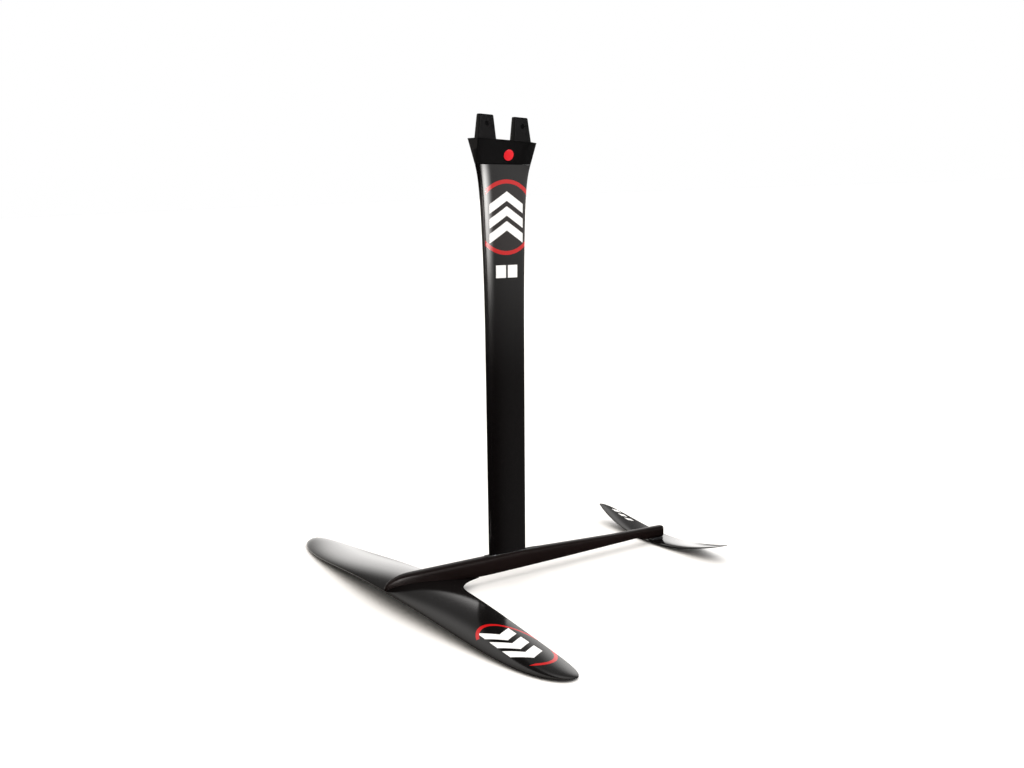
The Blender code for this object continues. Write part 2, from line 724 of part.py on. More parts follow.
def fasten_mast(fuselage):
    head_z = fuselage_belly(MAST_SCREWS[-1][1]) + HEAD_SUNK
    for place, y in MAST_SCREWS:
        add_screw(f"mast_screw_{place}", M8, MAST_SCREW_LENGTH, y, head_z)
        countersink([fuselage], f"mast_hole_{place}", M8, MAST_SCREW_LENGTH, y, head_z)
        add_insert(f"foot_insert_{place}", M8, MAST_INSERT_LENGTH, y, 2 * GAP - POCKET_DEPTH)


def fasten_front_wing(fuselage, pierced):
    for place, u in WING_SCREWS:
        low = FRONT_WING.point(0.0, u, -1)
        y, head_z = low.y, low.z + HEAD_SUNK
        around = [FRONT_WING.point(0.0, u + step, 1).z for step in (-0.05, 0.0, 0.05)]
        insert_z = max(around) + 4 * GAP
        add_screw(f"front_wing_screw_{place}", M8, WING_SCREW_LENGTH, y, head_z)
        countersink(pierced, f"wing_hole_{place}", M8, WING_SCREW_LENGTH, y, head_z)
        add_insert(f"fuselage_insert_{place}", M8, WING_INSERT_LENGTH, y, insert_z)
        top = max(insert_z + WING_INSERT_LENGTH, head_z + WING_SCREW_LENGTH) + BORE_END
        middle = (0, y, (top + head_z) / 2)
        bore(fuselage, f"wing_insert_bore_{place}", middle, M8["insert"] + GAP, top - head_z)


def fasten_stabilizer(fuselage, stabilizer, shim):
    for place, u in STAB_SCREWS:
        low = STABILIZER.point(0.0, u, -1)
        y, head_z = low.y, low.z + HEAD_SUNK
        add_screw(f"stabilizer_screw_{place}", M6, STAB_SCREW_LENGTH, y, head_z)
        countersink([stabilizer, shim], f"stab_hole_{place}", M6, STAB_SCREW_LENGTH, y, head_z)
        add_insert(f"tail_insert_{place}", M6, STAB_INSERT_LENGTH, y, SEAT_Z + GAP)
        depth = max(GAP + STAB_INSERT_LENGTH, head_z + STAB_SCREW_LENGTH - SEAT_Z) + BORE_END
        bore(fuselage, f"tail_bore_{place}", (0, y, SEAT_Z), M6["insert"] + GAP, 2 * depth)


def stand_on_origin():
    """Put the world origin under the middle of the whole foil, at its lowest point."""
    bpy.context.view_layer.update()
    graph = bpy.context.evaluated_depsgraph_get()
    corners = []
    for obj in PARTS.objects:
        evaluated = obj.evaluated_get(graph)
        corners += [evaluated.matrix_world @ vertex.co for vertex in evaluated.data.vertices]
    low = min(corner.z for corner in corners)
    front, back = min(corner.y for corner in corners), max(corner.y for corner in corners)
    FRAME.location = (0, -(front + back) / 2, -low)


clear_scene()
PARTS = new_collection("hydrofoil")
CUTTERS = new_collection("cutters")
FRAME = bpy.data.objects.new("foil_frame", None)
bpy.context.scene.collection.objects.link(FRAME)

make_mast_skin("mast_port_skin", 1)
make_mast_skin("mast_starboard_skin", -1)
make_mast_core()
make_foot_block()
make_head()
make_badge("head_badge_port", 1)
make_badge("head_badge_starboard", -1)
for place, y in NUT_PLACES:
    make_barrel_nut(f"{place}_barrel_nut", y)
fuselage_body = make_fuselage()
make_gasket()
fasten_mast(fuselage_body)
upper_skin = make_wing_skin("front_wing_upper_skin", 1)
lower_skin = make_wing_skin("front_wing_lower_skin", -1)
make_wing_core("front_wing_core_port", 1)
make_wing_core("front_wing_core_starboard", -1)
fasten_front_wing(fuselage_body, [upper_skin, make_root_block(), lower_skin])
fasten_stabilizer(fuselage_body, make_stabilizer(), make_shim())
stand_on_origin()
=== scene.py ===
"""Looks of the hydrofoil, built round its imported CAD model.

Working coordinates are the foil's own: x to port, y aft of the mast's leading edge and z above the top
of the fuselage at the mast. ORIGIN, read from the CAD boxes, is where that point lies in the frame.
"""
import math

import bmesh
import bpy
from mathutils import Matrix, Vector


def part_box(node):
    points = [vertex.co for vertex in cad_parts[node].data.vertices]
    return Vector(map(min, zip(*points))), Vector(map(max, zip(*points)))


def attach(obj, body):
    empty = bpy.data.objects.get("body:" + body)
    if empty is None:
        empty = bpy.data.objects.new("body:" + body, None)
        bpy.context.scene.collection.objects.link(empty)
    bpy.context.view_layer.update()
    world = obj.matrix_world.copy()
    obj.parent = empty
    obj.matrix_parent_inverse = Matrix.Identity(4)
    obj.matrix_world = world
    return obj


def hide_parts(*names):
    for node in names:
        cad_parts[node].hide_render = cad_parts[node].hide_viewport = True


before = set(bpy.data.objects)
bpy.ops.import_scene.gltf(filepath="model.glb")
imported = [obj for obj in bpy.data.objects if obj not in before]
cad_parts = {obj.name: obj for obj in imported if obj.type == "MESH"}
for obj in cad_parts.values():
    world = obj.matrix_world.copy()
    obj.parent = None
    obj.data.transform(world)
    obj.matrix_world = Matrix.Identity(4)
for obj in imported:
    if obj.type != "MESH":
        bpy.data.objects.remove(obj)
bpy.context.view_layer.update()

# GAP keeps apart what touches on the real foil, and OVERCUT is how far a cutter reaches past the
# surface that it opens. The mast's edges are (y at the foot, y per metre of height) and its flares
# (power, growth forward, growth aft).
GAP = 0.0003
OVERCUT = 0.01
MAST_HEIGHT = 0.93
MAST_FRONT = (0.0024, -0.0110)
MAST_BACK = (0.1012, -0.0025)
MAST_THICKNESS = 0.0145
MAST_THICKENING = 0.30
MAST_FULLNESS = 0.75
MAST_EDGE = 0.0006
MAST_SKIN = 0.0016
FLARE_START = 0.5
FLARE_CROWDING = 1.5
BROAD_FLARE = (2, 0.0116, 0.0090)
TIGHT_FLARE = (12, 0.0068, 0.0104)
HEAD_HEIGHT = 0.0505
JOINT_Z = MAST_HEIGHT - HEAD_HEIGHT
SPIGOT_LENGTH = 0.04
SPIGOT_CHORD = (0.05, 0.75)


# ---------------------------------------------------------------- meshes

def mix(a, b, t):
    return a + (b - a) * t


def foil_shape(u):
    """Half-thickness of a closed NACA four-digit section at fraction u of its chord; its greatest is 1."""
    shape = 0.2969 * math.sqrt(u) - 0.1260 * u - 0.3516 * u**2 + 0.2843 * u**3 - 0.1036 * u**4
    return max(0.0, 10 * shape)


def spread(count, first=0.0):
    """Fractions from first to 1, close together at both ends."""
    steps = [(1 - math.cos(math.pi * i / (count - 1))) / 2 for i in range(count)]
    return [first + (1 - first) * step for step in steps]


def mast_flare(z):
    """How far up the flare height z is: 0 where it starts and 1 at the joint with the head."""
    return max(0.0, (z - FLARE_START) / (JOINT_Z - FLARE_START))


def mast_edges(z):
    """Leading and trailing edge of the mast at height z."""
    front = MAST_FRONT[0] + MAST_FRONT[1] * z
    back = MAST_BACK[0] + MAST_BACK[1] * z
    for power, forward, aft in (BROAD_FLARE, TIGHT_FLARE):
        front -= forward * mast_flare(z) ** power
        back += aft * mast_flare(z) ** power
    return front, back


def mast_half(u, z):
    """Half-thickness of the mast at fraction u of its chord and height z."""
    most = MAST_THICKNESS / 2 * (1 + MAST_THICKENING * mast_flare(z) ** 2)
    return most * foil_shape(u) ** MAST_FULLNESS + MAST_EDGE * u


skin_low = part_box("mast_port_skin")[0]
ORIGIN = Vector((0.0, skin_low.y - mast_edges(JOINT_Z)[0], skin_low.z))


def object_from(name, bm, look):
    """Turn a bmesh into an object with a material."""
    bmesh.ops.recalc_face_normals(bm, faces=bm.faces[:])
    mesh = bpy.data.meshes.new(name)
    bm.to_mesh(mesh)
    bm.free()
    mesh.materials.append(LOOKS[look])
    obj = bpy.data.objects.new(name, mesh)
    bpy.context.scene.collection.objects.link(obj)
    return obj


def loft(rings, mirrored=False):
    """Skin over rings of equally many points. A mirrored loft starts on the middle plane and is
    repeated on its other side; any other loft is closed at both ends."""
    if mirrored:
        rings = [[(-x, y, z) for x, y, z in ring] for ring in rings[:0:-1]] + rings
    bm = bmesh.new()
    loops = [[bm.verts.new(Vector(point) + ORIGIN) for point in ring] for ring in rings]
    count = len(rings[0])
    for lower, upper in zip(loops, loops[1:]):
        for i in range(count):
            j = (i + 1) % count
            bm.faces.new((lower[i], lower[j], upper[j], upper[i]))
    bm.faces.new(loops[0][::-1])
    bm.faces.new(loops[-1])
    return bm


def lathe(profile, steps, centre, axis=(0, 0, 1)):
    """A profile of (radius, height) turned round an axis through centre."""
    bm = bmesh.new()
    spin = Vector((0, 0, 1)).rotation_difference(Vector(axis)).to_matrix().to_4x4()
    place = Matrix.Translation(Vector(centre) + ORIGIN) @ spin
    loops = []
    for radius, height in profile:
        if radius == 0:
            loops.append([bm.verts.new(place @ Vector((0, 0, height)))])
            continue
        angles = [2 * math.pi * i / steps for i in range(steps)]
        loops.append([bm.verts.new(place @ Vector((radius * math.cos(a), radius * math.sin(a), height)))
                      for a in angles])
    for first, second in zip(loops, loops[1:] + loops[:1]):
        if len(first) == 1 and len(second) == 1:
            continue
        for i in range(steps):
            j = (i + 1) % steps
            places = ((first, i), (first, j), (second, j), (second, i))
            corners = [loop[k % len(loop)] for loop, k in places]
            bm.faces.new(list(dict.fromkeys(corners)))
    return bm


def cutter(bm, name):
    """A solid that only cuts others or is joined to them; cut removes it."""
    return object_from(name, bm, "cut_metal")


def cut(obj, cutters, operation="DIFFERENCE"):
    """Apply cuts or joins to the mesh at once, then remove the tools."""
    for tool in cutters:
        modifier = obj.modifiers.new("cut", "BOOLEAN")
        modifier.operation = operation
        modifier.solver = "EXACT"
        modifier.object = tool
    graph = bpy.context.evaluated_depsgraph_get()
    done = bpy.data.meshes.new_from_object(obj.evaluated_get(graph))
    obj.modifiers.clear()
    old = obj.data
    obj.data = done
    bpy.data.meshes.remove(old)
    for tool in cutters:
        bpy.data.objects.remove(tool, do_unlink=True)


SMOOTH_ANGLE = 35


def finish_piece(obj, nodes, body="foil"):
    """Shade the piece, stand it in for its CAD nodes and let it move with its body."""
    obj.data.shade_smooth()
    obj.data.set_sharp_from_angle(angle=math.radians(SMOOTH_ANGLE))
    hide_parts(*nodes)
    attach(obj, body)


# ---------------------------------------------------------------- materials

class Term:
    """A number in a node tree. Arithmetic on it adds Math nodes."""

    def __init__(self, tree, socket):
        self.tree, self.socket = tree, socket

    def math(self, operation, *others):
        node = self.tree.nodes.new("ShaderNodeMath")
        node.operation = operation
        for slot, value in zip(node.inputs, (self,) + others):
            if isinstance(value, Term):
                self.tree.links.new(value.socket, slot)
            else:
                slot.default_value = value
        return Term(self.tree, node.outputs[0])

    def __add__(self, other):
        return self.math("ADD", other)

    def __rsub__(self, other):
        return (self * -1.0).math("ADD", other)

    def __sub__(self, other):
        return self.math("SUBTRACT", other)

    def __mul__(self, other):
        return self.math("MULTIPLY", other)

    def __gt__(self, other):
        return self.math("GREATER_THAN", other)

    def __lt__(self, other):
        return self.math("LESS_THAN", other)

    def size(self):
        """Its value without its sign."""
        return self.math("ABSOLUTE")

    def within(self, low, high):
        """1 between low and high, 0 outside."""
        return (self > low) * (self < high)

    def ramp(self, low, high):
        """0 at low and 1 at high, smooth between them; low may be the greater."""
        node = self.tree.nodes.new("ShaderNodeMapRange")
        node.interpolation_type = "SMOOTHSTEP"
        self.tree.links.new(self.socket, node.inputs["Value"])
        node.inputs["From Min"].default_value = low
        node.inputs["From Max"].default_value = high
        return Term(self.tree, node.outputs[0])

    def either(self, other):
        """1 where one of two masks is 1."""
        return self.math("MAXIMUM", other)


MIX_FACTOR, MIX_LOW, MIX_HIGH, MIX_RESULT = 0, 6, 7, 2


def mixed_colour(factor, low, high):
    """Colour that runs from low to high with factor; low may be an earlier colour."""
    tree = factor.tree
    node = tree.nodes.new("ShaderNodeMix")
    node.data_type = "RGBA"
    tree.links.new(factor.socket, node.inputs[MIX_FACTOR])
    for slot, value in ((node.inputs[MIX_LOW], low), (node.inputs[MIX_HIGH], high)):
        if isinstance(value, tuple):
            slot.default_value = (*value, 1.0)
        else:
            tree.links.new(value, slot)
    return node.outputs[MIX_RESULT]


class Look:
    """A material under construction."""

    def __init__(self, name, roughness, **values):
        self.material = bpy.data.materials.new(name)
        self.material.use_nodes = True
        self.tree = self.material.node_tree
        self.shader = self.tree.nodes["Principled BSDF"]
        self.shader.inputs["Roughness"].default_value = roughness
        for socket, value in values.items():
            self.shader.inputs[socket.replace("_", " ")].default_value = value
        self.place = self.tree.nodes.new("ShaderNodeTexCoord").outputs["Object"]
        LOOKS[name] = self.material

    def axes(self):
        """Working coordinates of the shaded point."""
        split = self.tree.nodes.new("ShaderNodeSeparateXYZ")
        self.tree.links.new(self.place, split.inputs[0])
        return [Term(self.tree, out) - offset for out, offset in zip(split.outputs, ORIGIN)]

    def texture(self, kind, scale, stretch=(1, 1, 1), **settings):
        """The factor of a procedural texture in object space."""
        mapping = self.tree.nodes.new("ShaderNodeMapping")
        mapping.inputs["Scale"].default_value = stretch
        self.tree.links.new(self.place, mapping.inputs["Vector"])
        node = self.tree.nodes.new(kind)
        node.inputs["Scale"].default_value = scale
        for socket, value in settings.items():
            node.inputs[socket].default_value = value
        self.tree.links.new(mapping.outputs[0], node.inputs["Vector"])
        outputs = node.outputs
        return Term(self.tree, outputs["Fac"] if "Fac" in outputs else outputs["Distance"])

    def colour(self, socket):
        """Base colour from what mixed_colour gave."""
        self.tree.links.new(socket, self.shader.inputs["Base Color"])

    def roughness(self, term, low, high):
        """Roughness that runs from low to high with a texture."""
        node = self.tree.nodes.new("ShaderNodeMapRange")
        self.tree.links.new(term.socket, node.inputs["Value"])
        node.inputs["To Min"].default_value = low
        node.inputs["To Max"].default_value = high
        self.tree.links.new(node.outputs[0], self.shader.inputs["Roughness"])

    def bump(self, term, depth, strength):
        """Fine relief, depth high, that follows a texture."""
        node = self.tree.nodes.new("ShaderNodeBump")
        node.inputs["Strength"].default_value = strength
        node.inputs["Distance"].default_value = depth
        self.tree.links.new(term.socket, node.inputs["Height"])
        self.tree.links.new(node.outputs[0], self.shader.inputs["Normal"])


LOOKS = {}
WHITE = (0.86, 0.86, 0.86)
RED = (0.46, 0.007, 0.008)
TOW_WIDTH = 0.002


def twill(across, along):
    """A carbon cloth's two-by-two twill: 1 where the tow runs one way and 0 where it runs the other."""
    step = across.math("DIVIDE", TOW_WIDTH).math("FLOOR") + along.math("DIVIDE", TOW_WIDTH).math("FLOOR")
    return step.math("FLOORED_MODULO", 4.0) < 2.0


def chevrons(along, across, half_width, pitch, thickness, slope, half_length):
    """Plain stacked chevrons, as a mask that is 1 on them."""
    lifted = along + across.size() * slope
    bar = (lifted + half_length).math("FLOORED_MODULO", pitch) < thickness
    return bar * (across.size() < half_width) * lifted.within(-half_length, half_length)


def mast_look():
    """Polished carbon. A plain ring with chevrons in it and two bars under it are printed near the top."""
    look = Look("mast_carbon", 0.09, IOR=1.40)
    _, y, z = look.axes()
    cloud = look.texture("ShaderNodeTexNoise", 9.0, Detail=3.0)
    base = mixed_colour(twill(y, z), (0.0020, 0.0015, 0.0016), (0.0031, 0.0025, 0.0026))
    ring_y, ring_z, ring_radius, band = 0.0502, 0.7647, 0.0827, 0.0088
    ring_front = -0.005
    marks_raised = 0.014
    bars_z, bar_half_height, bars_apart, bars_half_width = 0.6455, 0.0140, 0.0025, 0.0290
    across, up = y - ring_y, z - ring_z
    radius = (across * across + up * up).math("SQRT")
    # The disc inside the ring is painted lighter: a painted sheen for the light that the flared top of the
    # mast catches.
    base = mixed_colour(radius < ring_radius - band / 2, base, (0.012, 0.0088, 0.0088))
    marks = chevrons(ring_z + marks_raised - z, across, half_width=0.045, pitch=0.0325, thickness=0.0205,
                     slope=-0.62, half_length=0.0428)
    bars = (z - bars_z).size() < bar_half_height
    bars = bars * across.size().within(bars_apart, bars_half_width)
    base = mixed_colour(marks.either(bars), base, WHITE)
    ring = radius.within(ring_radius - band, ring_radius) * (y > ring_front)
    look.colour(mixed_colour(ring, base, RED))
    look.roughness(cloud, 0.06, 0.10)
    look.bump(look.texture("ShaderNodeTexNoise", 60.0, Detail=2.0), 0.00003, 0.3)


def print_ring(base, x, y):
    """A plain oval ring with a gap at its front and chevrons in it, on the front wing's port half."""
    ring_x, ring_y, half_span, half_chord, inner = 0.3915, -0.1800, 0.1065, 0.066, 0.91
    gap_back, gap_start, gap_end = -0.186, 0.335, 0.485
    marks_outward, marks_forward = 0.010, 0.004
    span, chord = x - ring_x, y - ring_y
    radius = ((span * span) * (1 / half_span**2) + (chord * chord) * (1 / half_chord**2)).math("SQRT")
    gap = (y < gap_back) * x.within(gap_start, gap_end)
    marks = chevrons(span - marks_outward, chord + marks_forward, half_width=0.037, pitch=0.0460,
                     thickness=0.0300, slope=0.70, half_length=0.0630)
    base = mixed_colour(marks, base, WHITE)
    return mixed_colour(radius.within(inner, 1.0) * (gap < 0.5), base, RED)


def print_dashes(base, x, y):
    """Three plain slanting dashes on the stabilizer's starboard half."""
    middle_x, middle_y, slant = -0.171, 0.5215, 0.9
    half_run, half_height = 0.0400, 0.0062
    pitch, phase, dash_start, dash_end = 0.0270, 0.1215, 0.0060, 0.0210
    across = y - middle_y
    run = (x * -1.0) + middle_x + across * slant
    dash = (run + phase).math("FLOORED_MODULO", pitch).within(dash_start, dash_end)
    mask = (run.size() < half_run) * dash * (across.size() < half_height)
    return mixed_colour(mask, base, WHITE)


def wing_look(name, printed=None, ior=1.24):
    """Polished carbon, with what the function printed adds to its colour."""
    look = Look(name, 0.12, IOR=ior)
    x, y, _ = look.axes()
    cloud = look.texture("ShaderNodeTexNoise", 7.0, Detail=3.0)
    base = mixed_colour(twill(x, y), (0.0030, 0.0026, 0.0026), (0.0042, 0.0037, 0.0037))
    look.colour(printed(base, x, y) if printed else base)
    look.roughness(cloud, 0.10, 0.16)
    look.bump(look.texture("ShaderNodeTexNoise", 45.0, Detail=2.0), 0.00003, 0.3)


def moulding_look():
    look = Look("moulding", 0.5, IOR=1.12)
    grain = look.texture("ShaderNodeTexNoise", 900.0, Detail=4.0)
    worn = look.texture("ShaderNodeTexNoise", 22.0, Detail=5.0)
    look.colour(mixed_colour(worn, (0.0022, 0.0021, 0.0023), (0.0040, 0.0038, 0.0041)))
    look.roughness(worn, 0.42, 0.58)
    look.bump(grain, 0.00010, 0.6)


def anodised_look():
    look = Look("anodised_black", 0.3, IOR=1.15)
    brushed = look.texture("ShaderNodeTexNoise", 350.0, (1, 0.03, 1), Detail=3.0)
    cloud = look.texture("ShaderNodeTexNoise", 6.0, Detail=3.0)
    look.colour(mixed_colour(cloud, (0.0042, 0.0022, 0.0020), (0.0066, 0.0036, 0.0034)))
    look.roughness(brushed, 0.27, 0.30)
    look.bump(brushed, 0.00001, 0.1)


def resin_look():
    look = Look("badge_resin", 0.12, IOR=1.3)
    cloud = look.texture("ShaderNodeTexNoise", 120.0, Detail=3.0)
    look.colour(mixed_colour(cloud, (0.66, 0.014, 0.022), (0.76, 0.024, 0.034)))
    look.roughness(cloud, 0.10, 0.2)
    look.bump(look.texture("ShaderNodeTexNoise", 400.0, Detail=2.0), 0.00003, 0.4)


def steel_look(name, low, high, stretch):
    look = Look(name, 0.3, Metallic=1.0)
    turned = look.texture("ShaderNodeTexNoise", 2200.0, stretch, Detail=3.0)
    look.colour(mixed_colour(turned, low, high))
    look.roughness(turned, 0.22, 0.38)
    look.bump(turned, 0.00003, 0.4)


def rubber_look():
    look = Look("rubber_black", 0.8, IOR=1.4)
    grain = look.texture("ShaderNodeTexVoronoi", 1500.0)
    look.colour(mixed_colour(grain, (0.010, 0.010, 0.010), (0.022, 0.022, 0.022)))
    look.roughness(grain, 0.7, 0.9)
    look.bump(grain, 0.00008, 0.5)


def nylon_look():
    look = Look("nylon", 0.55, IOR=1.4)
    grain = look.texture("ShaderNodeTexNoise", 700.0, Detail=4.0)
    look.colour(mixed_colour(grain, (0.015, 0.015, 0.017), (0.035, 0.035, 0.040)))
    look.roughness(grain, 0.45, 0.65)
    look.bump(grain, 0.00006, 0.5)


def foam_look():
    look = Look("core_foam", 0.9, IOR=1.35)
    cells = look.texture("ShaderNodeTexVoronoi", 900.0)
    look.colour(mixed_colour(cells, (0.80, 0.70, 0.48), (0.55, 0.45, 0.28)))
    look.roughness(cells, 0.8, 0.95)
    look.bump(cells, 0.0004, 0.8)


mast_look()
wing_look("wing_carbon_port", print_ring)
wing_look("wing_carbon_plain")
wing_look("stab_carbon", print_dashes, ior=1.42)
moulding_look()
anodised_look()
resin_look()
steel_look("stainless", (0.50, 0.50, 0.52), (0.68, 0.68, 0.70), (1, 1, 0.2))
steel_look("black_steel", (0.0010, 0.0010, 0.0010), (0.0028, 0.0028, 0.0030), (0.2, 1, 1))
steel_look("machined_aluminium", (0.48, 0.49, 0.51), (0.62, 0.63, 0.65), (1, 1, 0.1))
steel_look("cut_metal", (0.4, 0.4, 0.4), (0.5, 0.5, 0.5), (1, 1, 1))
rubber_look()
nylon_look()
foam_look()


# ---------------------------------------------------------------- mast

def mast_skin(name, side, node):
    """One bonded half of the mast, thin over the core and solid at both edges."""
    stations = spread(64)
    inner_stations = stations[:0:-3]
    straight, flared = 10, 60
    climb = [1 - (1 - i / flared) ** FLARE_CROWDING for i in range(flared + 1)]
    heights = [mix(0, FLARE_START, i / straight) for i in range(straight)]
    heights += [mix(FLARE_START, JOINT_Z, t) for t in climb]
    rings = []
    for z in heights:
        front, back = mast_edges(z)
        outer = [(max(GAP / 2, mast_half(u, z)), mix(front, back, u)) for u in stations]
        inner = [(max(GAP / 2, mast_half(u, z) - MAST_SKIN), mix(front, back, u)) for u in inner_stations]
        rings.append([(side * x, y, z) for x, y in outer + inner])
    finish_piece(object_from(name, loft(rings), "mast_carbon"), [node])


mast_skin("mast_shell_port", 1, "mast_port_skin")
mast_skin("mast_shell_starboard", -1, "mast_starboard_skin")


# ---------------------------------------------------------------- head

# PRONGS gives each prong's front and back at its base and at its tip, and PRONG_HALF_WIDTHS its
# half-width there. NUT_RISE is a nut's height over the shoulder.
SHOULDER_SLOPE = 0.052
SHOULDER_LEVEL_Y = 0.085
SHOULDER_FRONT = -0.0321
SHOULDER_BACK = 0.1295
SHOULDER_HALF_WIDTH = 0.023
SHOULDER_TAIL_HALF_WIDTH = 0.008
SHOULDER_CHAMFER_START = 0.82
PRONG_HEIGHT = 0.0525
PRONG_ROOT = 0.006
PRONG_HALF_WIDTHS = (0.010, 0.0062)
PRONG_CORNER = 0.002
PRONGS = {
    "front": ((-0.0222, 0.0233), (-0.0178, 0.0185)),
    "rear": ((0.0694, 0.1142), (0.0727, 0.1076))}
NUT_RISE = 0.0330
NUT_Y = {"front": 0.0006, "rear": 0.0928}
NUT_RADIUS = 0.0049
NUT_HALF_LENGTH = 0.0068
NUT_BORE_RADIUS = 0.0053
NUT_THREAD_RADIUS = 0.0034
BOLT_CHANNEL_RADIUS = 0.0043
BOLT_CHANNEL_DEPTH = 0.0145
BADGE_RADIUS = 0.0124
BADGE_RECESS_RADIUS = 0.0135
BADGE_RECESS_DEPTH = 0.0022
BADGE_Y = 0.052
BADGE_Z = 0.8996
ROUND = 64
SMOOTH_ROUND = 96
SCREW_ROUND = 48
EASE = 0.0004
SHOULDER_EDGE = 0.0009
SHOULDER_BEVEL = 0.0003


def shoulder_half(u):
    """Half-width of the shoulder: a flat front, parallel sides and a chamfered tail."""
    corner = 0.02  # fraction of the chord
    if u < corner:
        return SHOULDER_HALF_WIDTH - PRONG_CORNER * (1 - u / corner)
    tail = max(0.0, (u - SHOULDER_CHAMFER_START) / (1 - SHOULDER_CHAMFER_START))
    return mix(SHOULDER_HALF_WIDTH, SHOULDER_TAIL_HALF_WIDTH, tail)


def shoulder_z(y):
    """Height of the head's sloping top face."""
    return MAST_HEIGHT + SHOULDER_SLOPE * (SHOULDER_LEVEL_Y - y)


def both_sides(port):
    """Closed outline from its port side, which runs aft; the starboard side comes forward again."""
    return port + [(-x, y, z) for x, y, z in reversed(port)]


def head_outline(t, stations, inset=0.0, drop=0.0):
    """Outline of the head at fraction t of its height, from the mast's section to the shoulder's."""
    front, back = mast_edges(JOINT_Z)
    front, back = mix(front, SHOULDER_FRONT, t) + inset, mix(back, SHOULDER_BACK, t) - inset
    port = []
    for u in stations:
        y = mix(front, back, u)
        x = max(GAP, mix(mast_half(u, JOINT_Z), shoulder_half(u), t) - inset)
        port.append((x, y, mix(JOINT_Z + GAP, shoulder_z(y), t) - drop))
    return both_sides(port)


def prong(name, base, tip):
    """A tapered prong with round corners and eased edges at its top."""
    arc_steps, top = 5, 0.0030
    levels = [(-PRONG_ROOT, 0.0), (0.0, 0.0), (PRONG_HEIGHT - top, 0.0)]
    levels += [(PRONG_HEIGHT - top + top * math.sin(a), top / 3 * (1 - math.cos(a)))
               for a in (math.pi / 2 * i / arc_steps for i in range(1, arc_steps + 1))]
    rings = []
    for height, inset in levels:
        t = height / PRONG_HEIGHT
        front, back = mix(base[0], tip[0], t) + inset, mix(base[1], tip[1], t) - inset
        half = mix(*PRONG_HALF_WIDTHS, t) - inset
        ring = []
        corners = ((half, back, 0.0), (-half, back, 0.5), (-half, front, 1.0), (half, front, 1.5))
        for x, y, start in corners:
            cx = x - math.copysign(PRONG_CORNER, x)
            cy = y - (PRONG_CORNER if y == back else -PRONG_CORNER)
            for i in range(arc_steps + 1):
                angle = math.pi * (start + 0.5 * i / arc_steps)
                at_y = cy + PRONG_CORNER * math.sin(angle)
                ring.append((cx + PRONG_CORNER * math.cos(angle), at_y, shoulder_z(at_y) + height))
        rings.append(ring)
    return cutter(loft(rings), name)


def nut_centre(name):
    """Centre of the front or rear cross nut."""
    return Vector((0, NUT_Y[name], shoulder_z(NUT_Y[name]) + NUT_RISE))


def badge_pose(side):
    """Centre and outward direction of the badge's recess on the head's leaning side face."""
    chord_fraction = 0.4
    low, height = mast_half(chord_fraction, JOINT_Z), shoulder_z(BADGE_Y) - JOINT_Z
    lean = math.atan((SHOULDER_HALF_WIDTH - low) / height)
    x = mix(low, SHOULDER_HALF_WIDTH, (BADGE_Z - JOINT_Z) / height)
    return Vector((side * x, BADGE_Y, BADGE_Z)), Vector((side * math.cos(lean), 0, -math.sin(lean)))


def hole(name, centre, radius, half_length, axis, ease_at=None):
    """Round cutter along an axis. Past ease_at it widens, which eases the rim of the hole."""
    profile = [(0, -half_length), (radius, -half_length), (radius, half_length), (0, half_length)]
    if ease_at:
        widened = radius + half_length - ease_at + EASE
        profile[2:] = [(radius, ease_at - EASE), (widened, half_length), (0, half_length)]
    return cutter(lathe(profile, ROUND, centre, axis), name)


def spigot_rings(count):
    """Rings of count points a side for the part of the head that fills the hollow mast's top."""
    steps = 12
    stations = [mix(*SPIGOT_CHORD, i / (count - 1)) for i in range(count)]
    rings = []
    for z in [mix(JOINT_Z - SPIGOT_LENGTH, JOINT_Z, i / steps) for i in range(steps + 1)]:
        front, back = mast_edges(z)
        level = z if z < JOINT_Z else z + GAP
        halves = [max(GAP, mast_half(u, z) - MAST_SKIN - GAP) for u in stations]
        rings.append(both_sides([(x, mix(front, back, u), level) for x, u in zip(halves, stations)]))
    return rings


def head_body():
    """Spigot, flare and shoulder as one loft, with eased edges at the joint and round the top."""
    stations = spread(44, first=0.0015)
    steps = 16
    rings = spigot_rings(len(stations))
    rings += [head_outline(0.0, stations, EASE), head_outline(0.0, stations, 0.0, -EASE)]
    rings += [head_outline(i / steps, stations) for i in range(1, steps)]
    for inset, drop in ((0.0, SHOULDER_EDGE), (SHOULDER_BEVEL, SHOULDER_BEVEL), (SHOULDER_EDGE, 0.0)):
        rings.append(head_outline(1.0, stations, inset, drop))
    return object_from("head_moulding", loft(rings), "moulding")


def head():
    """The matt moulding between the mast and the board, with its prongs and all its holes."""
    obj = head_body()
    cut(obj, [prong(name + "_prong", *ends) for name, ends in PRONGS.items()], "UNION")
    tools = []
    across, up = (1, 0, 0), (0, 0, 1)
    reach = (PRONG_HEIGHT - NUT_RISE + BOLT_CHANNEL_DEPTH) / 2
    for name in PRONGS:
        centre = nut_centre(name)
        tools.append(hole(name + "_nut_bore", centre, NUT_BORE_RADIUS, 2 * PRONG_HALF_WIDTHS[0], across))
        middle = centre + Vector((0, 0, reach - BOLT_CHANNEL_DEPTH))
        tools.append(hole(name + "_bolt_channel", middle, BOLT_CHANNEL_RADIUS, reach + OVERCUT, up, reach))
    for name, side in (("port", 1), ("starboard", -1)):
        centre, normal = badge_pose(side)
        tools.append(hole(name + "_recess", centre, BADGE_RECESS_RADIUS, BADGE_RECESS_DEPTH, normal))
    cut(obj, tools)
    finish_piece(obj, ["mast_head"])


